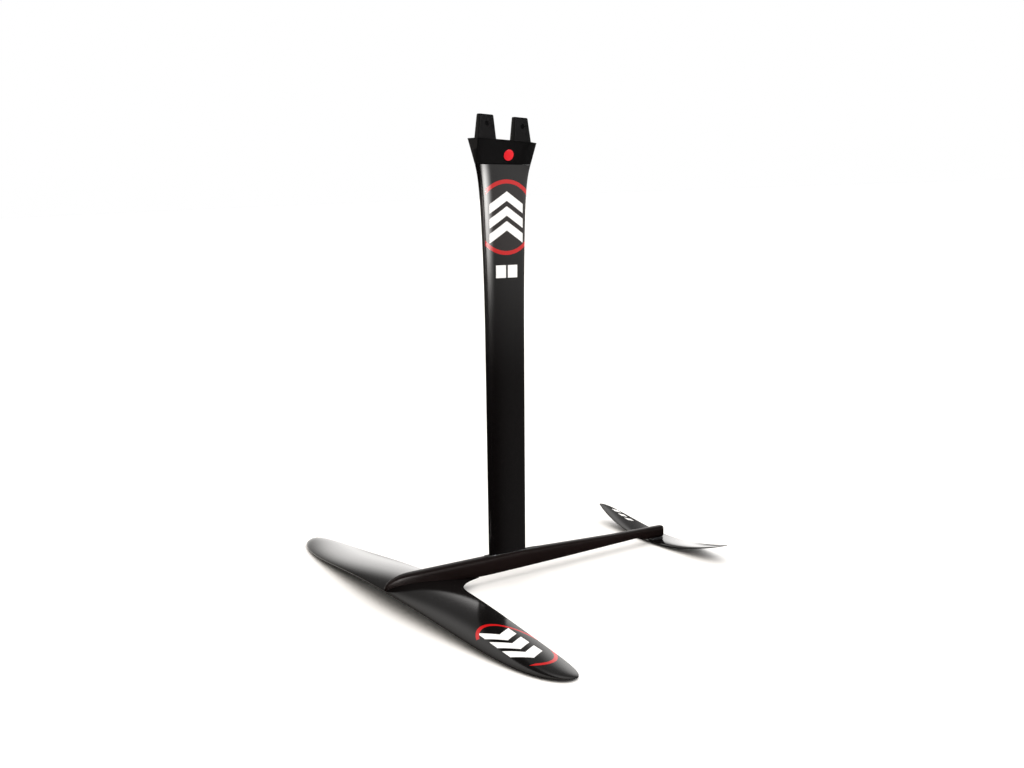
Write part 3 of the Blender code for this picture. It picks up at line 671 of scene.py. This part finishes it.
def badge(name, side, node):
    """A plain domed disc let into the head."""
    edge, dome, bevel_down, bevel_in = 0.0016, 0.0016, 0.0002, 0.00015
    steps, crowding = 14, 1.5
    profile = [(0, 0), (BADGE_RADIUS - EASE, 0), (BADGE_RADIUS, EASE), (BADGE_RADIUS, edge - bevel_down),
               (BADGE_RADIUS - bevel_in, edge)]
    for r in (1 - (i / steps) ** crowding for i in range(1, steps)):
        profile.append((BADGE_RADIUS * r, edge + dome * (1 - r * r)))
    profile.append((0, edge + dome))
    centre, normal = badge_pose(side)
    foot = centre - normal * (BADGE_RECESS_DEPTH - GAP)
    obj = object_from(name, lathe(profile, SMOOTH_ROUND, foot, normal), "badge_resin")
    finish_piece(obj, [node])


def barrel_nut(name, place, node, body):
    """A cross nut: chamfered, with a turning slot in each end and a thread across it."""
    chamfer, inner_ring = 0.0005, 0.6 * NUT_THREAD_RADIUS
    slot_size = (0.0020, 0.0012, 3 * NUT_RADIUS)
    half = [(inner_ring, 0.0), (NUT_RADIUS - chamfer, 0.0), (NUT_RADIUS, chamfer)]
    profile = [(0, -NUT_HALF_LENGTH)] + [(r, h - NUT_HALF_LENGTH) for r, h in half]
    profile += [(r, NUT_HALF_LENGTH - h) for r, h in reversed(half)] + [(0, NUT_HALF_LENGTH)]
    centre = nut_centre(place)
    obj = object_from(name, lathe(profile, SMOOTH_ROUND, centre, (1, 0, 0)), "black_steel")
    tools = [hole(name + "_thread", centre, NUT_THREAD_RADIUS, 2 * NUT_RADIUS, (0, 0, 1))]
    for side in (-1, 1):
        slot = bmesh.new()
        bmesh.ops.create_cube(slot, size=1.0)
        bmesh.ops.scale(slot, vec=slot_size, verts=slot.verts)
        at = centre + ORIGIN + Vector((side * NUT_HALF_LENGTH, 0, 0))
        bmesh.ops.translate(slot, vec=at, verts=slot.verts)
        tools.append(cutter(slot, name + "_slot"))
    cut(obj, tools)
    finish_piece(obj, [node], body)


head()
badge("badge_disc_port", 1, "head_badge_port")
badge("badge_disc_starboard", -1, "head_badge_starboard")
barrel_nut("cross_nut_front", "front", "front_barrel_nut", "front_nut")
barrel_nut("cross_nut_rear", "rear", "rear_barrel_nut", "rear_nut")


# ---------------------------------------------------------------- wings

# The tongue carries the front wing's trailing edge aft along the fuselage. In a wing, s runs from 0 in
# the middle to 1 at the tip, and heights and sweeps grow with powers of s.
TONGUE_SCALE = 0.093
TONGUE_REACH = 0.100
TONGUE_POWER = 2.9
TONGUE_LIMIT = 0.077
TONGUE_DROP = 0.005
WING_SKIN = 0.0015
PIVOT = 0.4

FRONT_WING = dict(
    half_span=0.5760, nose_y=-0.2655, sweep=0.0329, sweep_power=1.465, root_chord=0.1597,
    back_sweep=-0.0198, tip_power=7.9, tip_bias=0.563, root_z=-0.0396, rise=-0.0710,
    tip_rise=0.0456, incidence=0.78, thickness=0.088, camber=0.030, edge=0.0005, tongue=True)
STABILIZER = dict(
    half_span=0.2440, nose_y=0.4684, sweep=0.0268, sweep_power=2.05, root_chord=0.0747,
    back_sweep=0.0, tip_power=4.0, tip_bias=0.10, root_z=-0.0394, rise=0.0400,
    tip_rise=0.0, incidence=0.0, thickness=0.10, camber=0.0, edge=0.0004, tongue=False)


def wing_point(w, s, u, side, inset=0.0, least=GAP / 2):
    """A point at fraction s of the half-span and u of the chord, above (1) or below (-1) the middle."""
    front = w["nose_y"] + w["sweep"] * s ** w["sweep_power"]
    full = w["nose_y"] + w["root_chord"] + w["back_sweep"] * s - front
    chord = full * math.sqrt(max(0.0, 1 - s ** w["tip_power"]))
    lead = front + w["tip_bias"] * (full - chord)
    offset = side * max(least, w["thickness"] / 2 * foil_shape(u) * chord + w["edge"] * u - inset)
    offset += 4 * w["camber"] * chord * u * (1 - u)
    turn = math.radians(w["incidence"])
    along = (u - PIVOT) * chord
    reach = 1 - s * w["half_span"] / TONGUE_REACH
    tongue = min(TONGUE_LIMIT, TONGUE_SCALE * reach**TONGUE_POWER) if w["tongue"] and reach > 0 else 0.0
    aft = max(0.0, (u - PIVOT) / (1 - PIVOT)) ** 2
    y = lead + PIVOT * chord + along * math.cos(turn) + offset * math.sin(turn) + tongue * aft
    z = w["root_z"] + w["rise"] * s**2 + w["tip_rise"] * s**4
    z += offset * math.cos(turn) - along * math.sin(turn) - TONGUE_DROP * aft * tongue / TONGUE_LIMIT
    return Vector((s * w["half_span"], y, z))


def span_stations(middle, tip):
    """Fractions of the half-span, closer together towards the tip."""
    bend, end = 0.85, 0.9985
    inner = [bend * (i / middle) for i in range(middle)]
    return inner + [bend + (end - bend) * math.sin(math.pi / 2 * i / tip) for i in range(tip + 1)]


M8 = {"shank": 0.004, "head": 0.008, "head_height": 0.0044, "socket": 0.0029, "insert": 0.0056}
M6 = {"shank": 0.003, "head": 0.006, "head_height": 0.0033, "socket": 0.0023, "insert": 0.0043}
HEAD_SUNK = 0.0006
MAST_SCREW_LENGTH = 0.031
WING_SCREW_LENGTH = 0.027
STAB_SCREW_LENGTH = 0.020
WING_SCREWS = (("front", 0.26), ("middle", 0.45), ("rear", 0.62))
STAB_SCREWS = (("front", 0.16), ("rear", 0.40))


def screw_hole(name, size, length, y, z):
    """Cutter for a countersunk screw whose head is at z, open downwards."""
    clear, sink, open_to = size["shank"] + GAP, size["head"] + GAP, -0.012
    profile = [(0, length), (clear, length), (clear, size["head_height"] + GAP)]
    profile += [(sink, GAP), (sink, open_to), (0, open_to)]
    return cutter(lathe(profile, SCREW_ROUND, (0, y, z)), name)


def screw(name, size, length, y, z, node):
    """Countersunk screw on its head, with a hexagon socket, a rolled tip and turned thread ridges."""
    shank, head_radius, tip, rim = size["shank"], size["head"], 0.0006, 0.00025
    profile = [(0, 0), (head_radius - rim, 0), (head_radius, rim), (shank, size["head_height"])]
    pitch, depth, plain = 0.00125, 0.0003, 0.002
    height = size["head_height"] + plain
    while height + pitch < length - tip:
        profile += [(shank, height), (shank - depth, height + pitch / 2)]
        height += pitch
    profile += [(shank, height), (shank, length - tip), (shank - tip, length), (0, length)]
    obj = object_from(name, lathe(profile, SCREW_ROUND, (0, y, z)), "stainless")
    wall, drill_tip, open_to = 0.0026, 0.0034, -0.003
    socket = [(0, open_to), (size["socket"], open_to), (size["socket"], wall), (0, drill_tip)]
    cut(obj, [cutter(lathe(socket, 6, (0, y, z)), name + "_socket")])
    finish_piece(obj, [node])


def wing_screw_places(w, screws):
    """Name, y and z of each screw's head in the middle of a wing's underside."""
    places = []
    for place, u in screws:
        low = wing_point(w, 0.0, u, -1)
        places.append((place, low.y, low.z + HEAD_SUNK))
    return places


def front_wing_skin(name, side, node, look):
    """One of the front wing's two skins, hollow behind its outer surface and closed at its edges."""
    chord_stations = spread(44)
    rings = []
    for s in span_stations(90, 40):
        outer = [wing_point(FRONT_WING, s, u, side, least=GAP) for u in chord_stations[1:]]
        nose = wing_point(FRONT_WING, s, 0.0, side)
        inner = [wing_point(FRONT_WING, s, u, side, inset=WING_SKIN) for u in chord_stations[:0:-3]]
        rings.append([tuple(p) for p in [nose] + outer + inner])
    obj = object_from(name, loft(rings, mirrored=True), look)
    cut(obj, [screw_hole(name + place, M8, WING_SCREW_LENGTH, y, z) for place, y, z in wing_places])
    finish_piece(obj, [node])


wing_places = wing_screw_places(FRONT_WING, WING_SCREWS)
front_wing_skin("front_wing_top", 1, "front_wing_upper_skin", "wing_carbon_port")
front_wing_skin("front_wing_underside", -1, "front_wing_lower_skin", "wing_carbon_plain")


def stabilizer():
    """The rear wing, solid, with turned-up tips."""
    chord_stations = spread(40)
    rings = []
    for s in span_stations(50, 30):
        upper = [tuple(wing_point(STABILIZER, s, u, 1)) for u in chord_stations]
        lower = [tuple(wing_point(STABILIZER, s, u, -1)) for u in chord_stations[1:]]
        rings.append(upper + lower[::-1])
    obj = object_from("stabilizer_wing", loft(rings, mirrored=True), "stab_carbon")
    cut(obj, [screw_hole("stab_" + place, M6, STAB_SCREW_LENGTH, y, z) for place, y, z in stab_places])
    finish_piece(obj, ["stabilizer"])


stab_places = wing_screw_places(STABILIZER, STAB_SCREWS)
stabilizer()


# ---------------------------------------------------------------- fuselage

NOSE_Y = -0.2658
NOSE_Z = -0.0350
NOSE_LENGTH = 0.062
NOSE_TAPER = 0.090
TAIL_Y = 0.5100
CREST_Y = 0.08
CREST_Z = 0.0010
TOP_FALL_FORWARD = 0.0235
TOP_FALL_AFT = 0.0215
TOP_LEVEL_Y = 0.36
BELLY_Y = -0.015
BELLY_Z = -0.0450
BELLY_RISE = 0.0191
BELLY_RISE_LENGTH = 0.435
BELLY_POWER = 1.17
SEAT_Z = -0.0325
SEAT_START = (0.425, 0.455)
FUSELAGE_HALF_WIDTHS = (0.0125, 0.0098)
FUSELAGE_SQUARENESS = 4.0
TENON = (0.004, 0.0985)
TENON_HALF_WIDTH = 0.0075
POCKET_DEPTH = 0.024
GASKET = (-0.010, 0.137)
GASKET_HALF_WIDTH = 0.0082
GASKET_BASE = -0.0045
GASKET_TOP = -0.0003
MAST_SCREWS = (("front", 0.018), ("middle", 0.051), ("rear", 0.084))


def fuselage_top(y):
    """Height of the top's crest line: two straight falls from the mast and a level tail."""
    if y < CREST_Y:
        return CREST_Z - TOP_FALL_FORWARD * (CREST_Y - y)
    return CREST_Z - TOP_FALL_AFT * (min(y, TOP_LEVEL_Y) - CREST_Y)


def fuselage_belly(y):
    """Height of the underside, which rises aft and blends into the stabilizer's seat."""
    line = BELLY_Z + BELLY_RISE * (max(0.0, y - BELLY_Y) / BELLY_RISE_LENGTH) ** BELLY_POWER
    t = min(1.0, max(0.0, (y - SEAT_START[0]) / (SEAT_START[1] - SEAT_START[0])))
    return mix(line, SEAT_Z, t * t * (3 - 2 * t))


def fuselage_ring(y, scale=1.0, at=None):
    """Rounded square section at y, or with the same outline elsewhere; at the nose it is a point."""
    rise = math.sqrt(1 - (1 - min(1.0, (y - NOSE_Y) / NOSE_LENGTH)) ** 2)
    widen = math.sqrt(1 - (1 - min(1.0, (y - NOSE_Y) / NOSE_TAPER)) ** 2)
    top = mix(NOSE_Z, fuselage_top(y), rise)
    belly = mix(NOSE_Z, fuselage_belly(y), rise)
    half_width = scale * widen * mix(*FUSELAGE_HALF_WIDTHS, max(0.0, y / TAIL_Y))
    power = 2 / FUSELAGE_SQUARENESS
    ring = []
    for i in range(SMOOTH_ROUND):
        angle = 2 * math.pi * (i + 0.5) / SMOOTH_ROUND
        across, up = math.cos(angle), math.sin(angle)
        x = half_width * math.copysign(abs(across) ** power, across)
        z = (top + belly) / 2 + scale * (top - belly) / 2 * math.copysign(abs(up) ** power, up)
        ring.append((x, at or y, z))
    return ring


def stadium(front, back, half_width):
    """Outline of a slot with round ends, from front to back along y."""
    arc_steps = 24
    points = []
    for centre, start in ((back - half_width, 0.0), (front + half_width, math.pi)):
        for i in range(arc_steps + 1):
            angle = start + math.pi * i / arc_steps
            points.append((half_width * math.cos(angle), centre + half_width * math.sin(angle)))
    return points


def slab(levels):
    """Loft through stadium outlines, each given as (front, back, half width, height)."""
    return loft([[(x, y, z) for x, y in stadium(front, back, half)] for front, back, half, z in levels])


def wing_saddle():
    """Cutter with the front wing's upper surface, which the fuselage sits down over."""
    half_width, steps, deep, ahead = 0.03, 24, -0.09, 0.02
    rings = []
    for x in [mix(-half_width, half_width, i / steps) for i in range(steps + 1)]:
        s = abs(x) / FRONT_WING["half_span"]
        top = [wing_point(FRONT_WING, s, u, 1, inset=-GAP) for u in spread(44)]
        front, back = top[0].y - ahead, top[-1].y + GAP
        edge = [(front, deep), (front, top[0].z)] + [(p.y, p.z) for p in top]
        edge += [(back, top[-1].z), (back, deep)]
        rings.append([(x, y, z) for y, z in edge])
    return cutter(loft(rings), "wing_saddle")


def fuselage_body():
    """The bar from its pointed nose to its blunt tail, whose end is rounded over a small ease."""
    nose_steps, body_steps, seat_steps, tail_steps, ease_steps = 36, 60, 12, 6, 4
    first, ease, shrink = 0.04, 0.0012, 0.08
    nose = [NOSE_Y + NOSE_TAPER * mix(first, 1, i / nose_steps) ** 2 for i in range(nose_steps + 1)]
    body = [mix(nose[-1], SEAT_START[0], i / body_steps) for i in range(1, body_steps)]
    seat = [mix(*SEAT_START, i / seat_steps) for i in range(seat_steps + 1)]
    tail = [mix(SEAT_START[1], TAIL_Y - ease, i / tail_steps) for i in range(1, tail_steps + 1)]
    rings = [fuselage_ring(y) for y in nose + body + seat + tail]
    for angle in (math.pi / 2 * i / ease_steps for i in range(1, ease_steps + 1)):
        scale = 1 - shrink * (1 - math.cos(angle))
        rings.append(fuselage_ring(TAIL_Y - ease, scale, TAIL_Y - ease + ease * math.sin(angle)))
    return object_from("fuselage_bar", loft(rings), "anodised_black")


def pocket(name, ends, half_width, bottom):
    """Cutter for a pocket with round ends, a gap longer at both ends than what goes into it."""
    levels = [(ends[0] - GAP, ends[1] + GAP, half_width, z) for z in (bottom, OVERCUT)]
    return cutter(slab(levels), name)


def insert_bore(node, size):
    """Cutter for the bore of a threaded insert, placed by the insert's CAD box."""
    below, above = 0.004, 0.006
    low, high = (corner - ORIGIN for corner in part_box(node))
    reach = (high.z + above - low.z + below) / 2
    centre = (0, (low.y + high.y) / 2, low.z - below + reach)
    return hole(node + "_bore", centre, size["insert"] + GAP, reach, (0, 0, 1))


def fuselage():
    """The bar with the front wing's saddle, the mast's pocket, and all its screw holes and bores."""
    obj = fuselage_body()
    tools = [wing_saddle(),
             pocket("gasket_recess", GASKET, GASKET_HALF_WIDTH + GAP, GASKET_BASE - GAP),
             pocket("foot_pocket", TENON, TENON_HALF_WIDTH + GAP, -POCKET_DEPTH)]
    for place, y in MAST_SCREWS:
        tools.append(screw_hole("mast_hole_" + place, M8, MAST_SCREW_LENGTH, y, mast_screw_z))
    tools += [insert_bore(f"fuselage_insert_{place}", M8) for place, _ in WING_SCREWS]
    tools += [insert_bore(f"tail_insert_{place}", M6) for place, _ in STAB_SCREWS]
    cut(obj, tools)
    finish_piece(obj, ["fuselage_body"])


def gasket():
    """The rubber seat plate round the mast's foot, with eased edges and a hole for the tenon."""
    insets = ((EASE, GASKET_BASE), (0.0, GASKET_BASE + EASE), (0.0, GASKET_TOP - 2 * EASE),
              (EASE / 2, GASKET_TOP - EASE / 2), (2 * EASE, GASKET_TOP))
    levels = [(GASKET[0] + inset, GASKET[1] - inset, GASKET_HALF_WIDTH - inset, z) for inset, z in insets]
    obj = object_from("seat_plate", slab(levels), "rubber_black")
    cut(obj, [pocket("gasket_hole", TENON, TENON_HALF_WIDTH, GASKET_BASE - OVERCUT)])
    finish_piece(obj, ["mast_seat_gasket"])


def shim():
    """The nylon wedge between the stabilizer's curved top and its flat seat under the tail."""
    half_width, steps, chord_range, chord_steps = 0.0085, 16, (0.06, 0.54), 24
    rings = []
    for x in [mix(-half_width, half_width, i / steps) for i in range(steps + 1)]:
        s = abs(x) / STABILIZER["half_span"]
        fractions = [mix(*chord_range, i / chord_steps) for i in range(chord_steps + 1)]
        low = [wing_point(STABILIZER, s, u, 1, inset=-GAP) for u in fractions]
        rings.append([(x, p.y, p.z) for p in low] + [(x, p.y, SEAT_Z - GAP) for p in reversed(low)])
    obj = object_from("tail_shim", loft(rings), "nylon")
    cut(obj, [screw_hole("shim_" + place, M6, STAB_SCREW_LENGTH, y, z) for place, y, z in stab_places])
    finish_piece(obj, ["stabilizer_shim"])


# The heads of the mast's screws share one level, set where the rear one is.
mast_screw_z = fuselage_belly(MAST_SCREWS[-1][1]) + HEAD_SUNK
fuselage()
gasket()
shim()
for place, y in MAST_SCREWS:
    screw(f"mast_bolt_{place}", M8, MAST_SCREW_LENGTH, y, mast_screw_z, f"mast_screw_{place}")
for place, y, z in wing_places:
    screw(f"wing_bolt_{place}", M8, WING_SCREW_LENGTH, y, z, f"front_wing_screw_{place}")
for place, y, z in stab_places:
    screw(f"stab_bolt_{place}", M6, STAB_SCREW_LENGTH, y, z, f"stabilizer_screw_{place}")


# ---------------------------------------------------------------- inner pieces kept from the CAD model

FOAM_CORES = ("mast_foam_core", "front_wing_core_port", "front_wing_core_starboard")
METAL_BLOCKS = ("mast_foot_block", "front_wing_root_block")
inner_looks = {name: "core_foam" for name in FOAM_CORES}
inner_looks.update({name: "machined_aluminium" for name in METAL_BLOCKS})
inner_looks.update({name: "stainless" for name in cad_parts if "insert" in name})
for name, look in inner_looks.items():
    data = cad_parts[name].data
    data.materials.clear()
    data.materials.append(LOOKS[look])

bpy.data.materials.remove(LOOKS.pop("cut_metal"))


# ---------------------------------------------------------------- studio

FLOOR_RADIUS = 40.0
FLOOR_GAP = 0.0004


def resting_plane():
    """A point just under the front wing's tips, and the rise per metre aft of the plane that touches
    them and the stabilizer."""
    groups = []
    for names in (("front_wing_lower_skin", "front_wing_upper_skin"),
                  ("stabilizer", "stabilizer_screw_front", "stabilizer_screw_rear")):
        nodes = [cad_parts[name] for name in names]
        groups.append([node.matrix_world @ v.co for node in nodes for v in node.data.vertices])
    rise, rounds = 0.0, 6
    for _ in range(rounds):
        toe, heel = (min(points, key=lambda p: p.z - rise * p.y) for points in groups)
        rise = (heel.z - toe.z) / (heel.y - toe.y)
    return Vector((0.0, toe.y, toe.z - FLOOR_GAP)), rise


def floor():
    """Pale floor that the foil stands on, on its front wing's tips and its stabilizer."""
    bm = bmesh.new()
    bmesh.ops.create_circle(bm, cap_ends=True, segments=SMOOTH_ROUND, radius=FLOOR_RADIUS)
    mesh = bpy.data.meshes.new("floor")
    bm.to_mesh(mesh)
    bm.free()
    look = Look("pale_floor", 0.9, IOR=1.05)
    cloud = look.texture("ShaderNodeTexNoise", 1.5, Detail=2.0)
    look.colour(mixed_colour(cloud, (0.90, 0.90, 0.897), (0.91, 0.91, 0.907)))
    mesh.materials.append(look.material)
    obj = bpy.data.objects.new("floor", mesh)
    bpy.context.scene.collection.objects.link(obj)
    obj.visible_glossy = False  # polished surfaces mirror the world alone
    obj.location, rise = resting_plane()
    obj.rotation_euler.x = math.atan(rise)


def sector(azimuth, *edges):
    """1 between the inner two of four azimuths in degrees, fading to 0 at the outer two."""
    start, full, fading, end = (math.radians(edge) for edge in edges)
    return azimuth.ramp(start, full) * azimuth.ramp(end, fading)


def mirrored_light(azimuth, z):
    """What polished surfaces mirror: light low round the horizon and again overhead, dimmed beside the
    mast, two tall strips for the mast to catch, and hardly any light below the horizon."""
    low_band, high_band, dimmed, base, dark = 2.25, 1.3, -0.5, 0.20, 0.03
    strip_light, line_light, ground_light = 45.0, 30.0, 0.17
    bands = z.ramp(0.36, 0.14) * low_band + z.ramp(0.48, 0.62) * high_band + base
    level = z.ramp(-0.15, 0.0) * bands + dark
    level = level * (sector(azimuth, 60, 85, 140, 165) * dimmed + 1.0)
    strip, line = sector(azimuth, 86, 92, 100, 118), sector(azimuth, 66, 69, 74, 77)
    tall = z.ramp(-0.10, 0.0) * z.ramp(0.25, 0.15)
    ground = sector(azimuth, 112, 134, 150, 165)
    return level + (strip * strip_light + line * line_light) * tall + ground * ground_light


def studio_light(y, z):
    """Soft light from overhead for all that isn't mirrored, stronger from behind the foil."""
    overhead, everywhere = 1.85, 0.36
    return (y + z * overhead + everywhere).math("MAXIMUM", 0.0)


def surroundings():
    """Light by the kind of ray: a reflected studio, soft overhead light, and white behind the foil."""
    world = bpy.data.worlds.new("studio")
    bpy.context.scene.world = world
    world.use_nodes = True
    tree = world.node_tree
    tree.nodes.clear()
    links = tree.links
    place = tree.nodes.new("ShaderNodeTexCoord")
    split = tree.nodes.new("ShaderNodeSeparateXYZ")
    links.new(place.outputs["Generated"], split.inputs[0])
    x, y, z = (Term(tree, out) for out in split.outputs)
    azimuth = x.math("ARCTAN2", y * -1.0)
    path = tree.nodes.new("ShaderNodeLightPath")
    glossy = Term(tree, path.outputs["Is Glossy Ray"])
    strength = mirrored_light(azimuth, z) * glossy + (1.0 - glossy) * studio_light(y, z)
    lit = tree.nodes.new("ShaderNodeBackground")
    links.new(strength.socket, lit.inputs["Strength"])
    warm, pale = (1.0, 0.94, 0.87), (1.0, 0.982, 0.962)
    links.new(mixed_colour(y.ramp(-0.6, 0.5), warm, pale), lit.inputs["Color"])
    seen = tree.nodes.new("ShaderNodeBackground")
    seen.inputs["Color"].default_value = (1.0, 1.0, 1.0, 1.0)
    mixer = tree.nodes.new("ShaderNodeMixShader")
    links.new(path.outputs["Is Camera Ray"], mixer.inputs[0])
    links.new(lit.outputs[0], mixer.inputs[1])
    links.new(seen.outputs[0], mixer.inputs[2])
    out = tree.nodes.new("ShaderNodeOutputWorld")
    links.new(mixer.outputs[0], out.inputs["Surface"])


def camera():
    """The camera at the photograph's viewing angle, found by fitting the foil's edges."""
    azimuth, elevation, roll = math.radians(57.1102), math.radians(8.5178), math.radians(-0.2748)
    distance, focal_length = 2.8141, 43.652
    target = ORIGIN + Vector((0, 0.0667, 0.39))
    level = math.cos(elevation)
    back = Vector((math.sin(azimuth) * level, -math.cos(azimuth) * level, math.sin(elevation)))
    data = bpy.data.cameras.new("camera")
    data.sensor_width = 36.0
    data.lens = focal_length
    obj = bpy.data.objects.new("camera", data)
    bpy.context.scene.collection.objects.link(obj)
    obj.location = target + back * distance
    obj.rotation_mode = "QUATERNION"
    turn = (-back).to_track_quat("-Z", "Y").to_matrix()
    obj.rotation_quaternion = (turn @ Matrix.Rotation(roll, 3, "Z")).to_quaternion()
    bpy.context.scene.camera = obj


floor()
surroundings()
camera()
bpy.context.scene.view_settings.view_transform = "Standard"
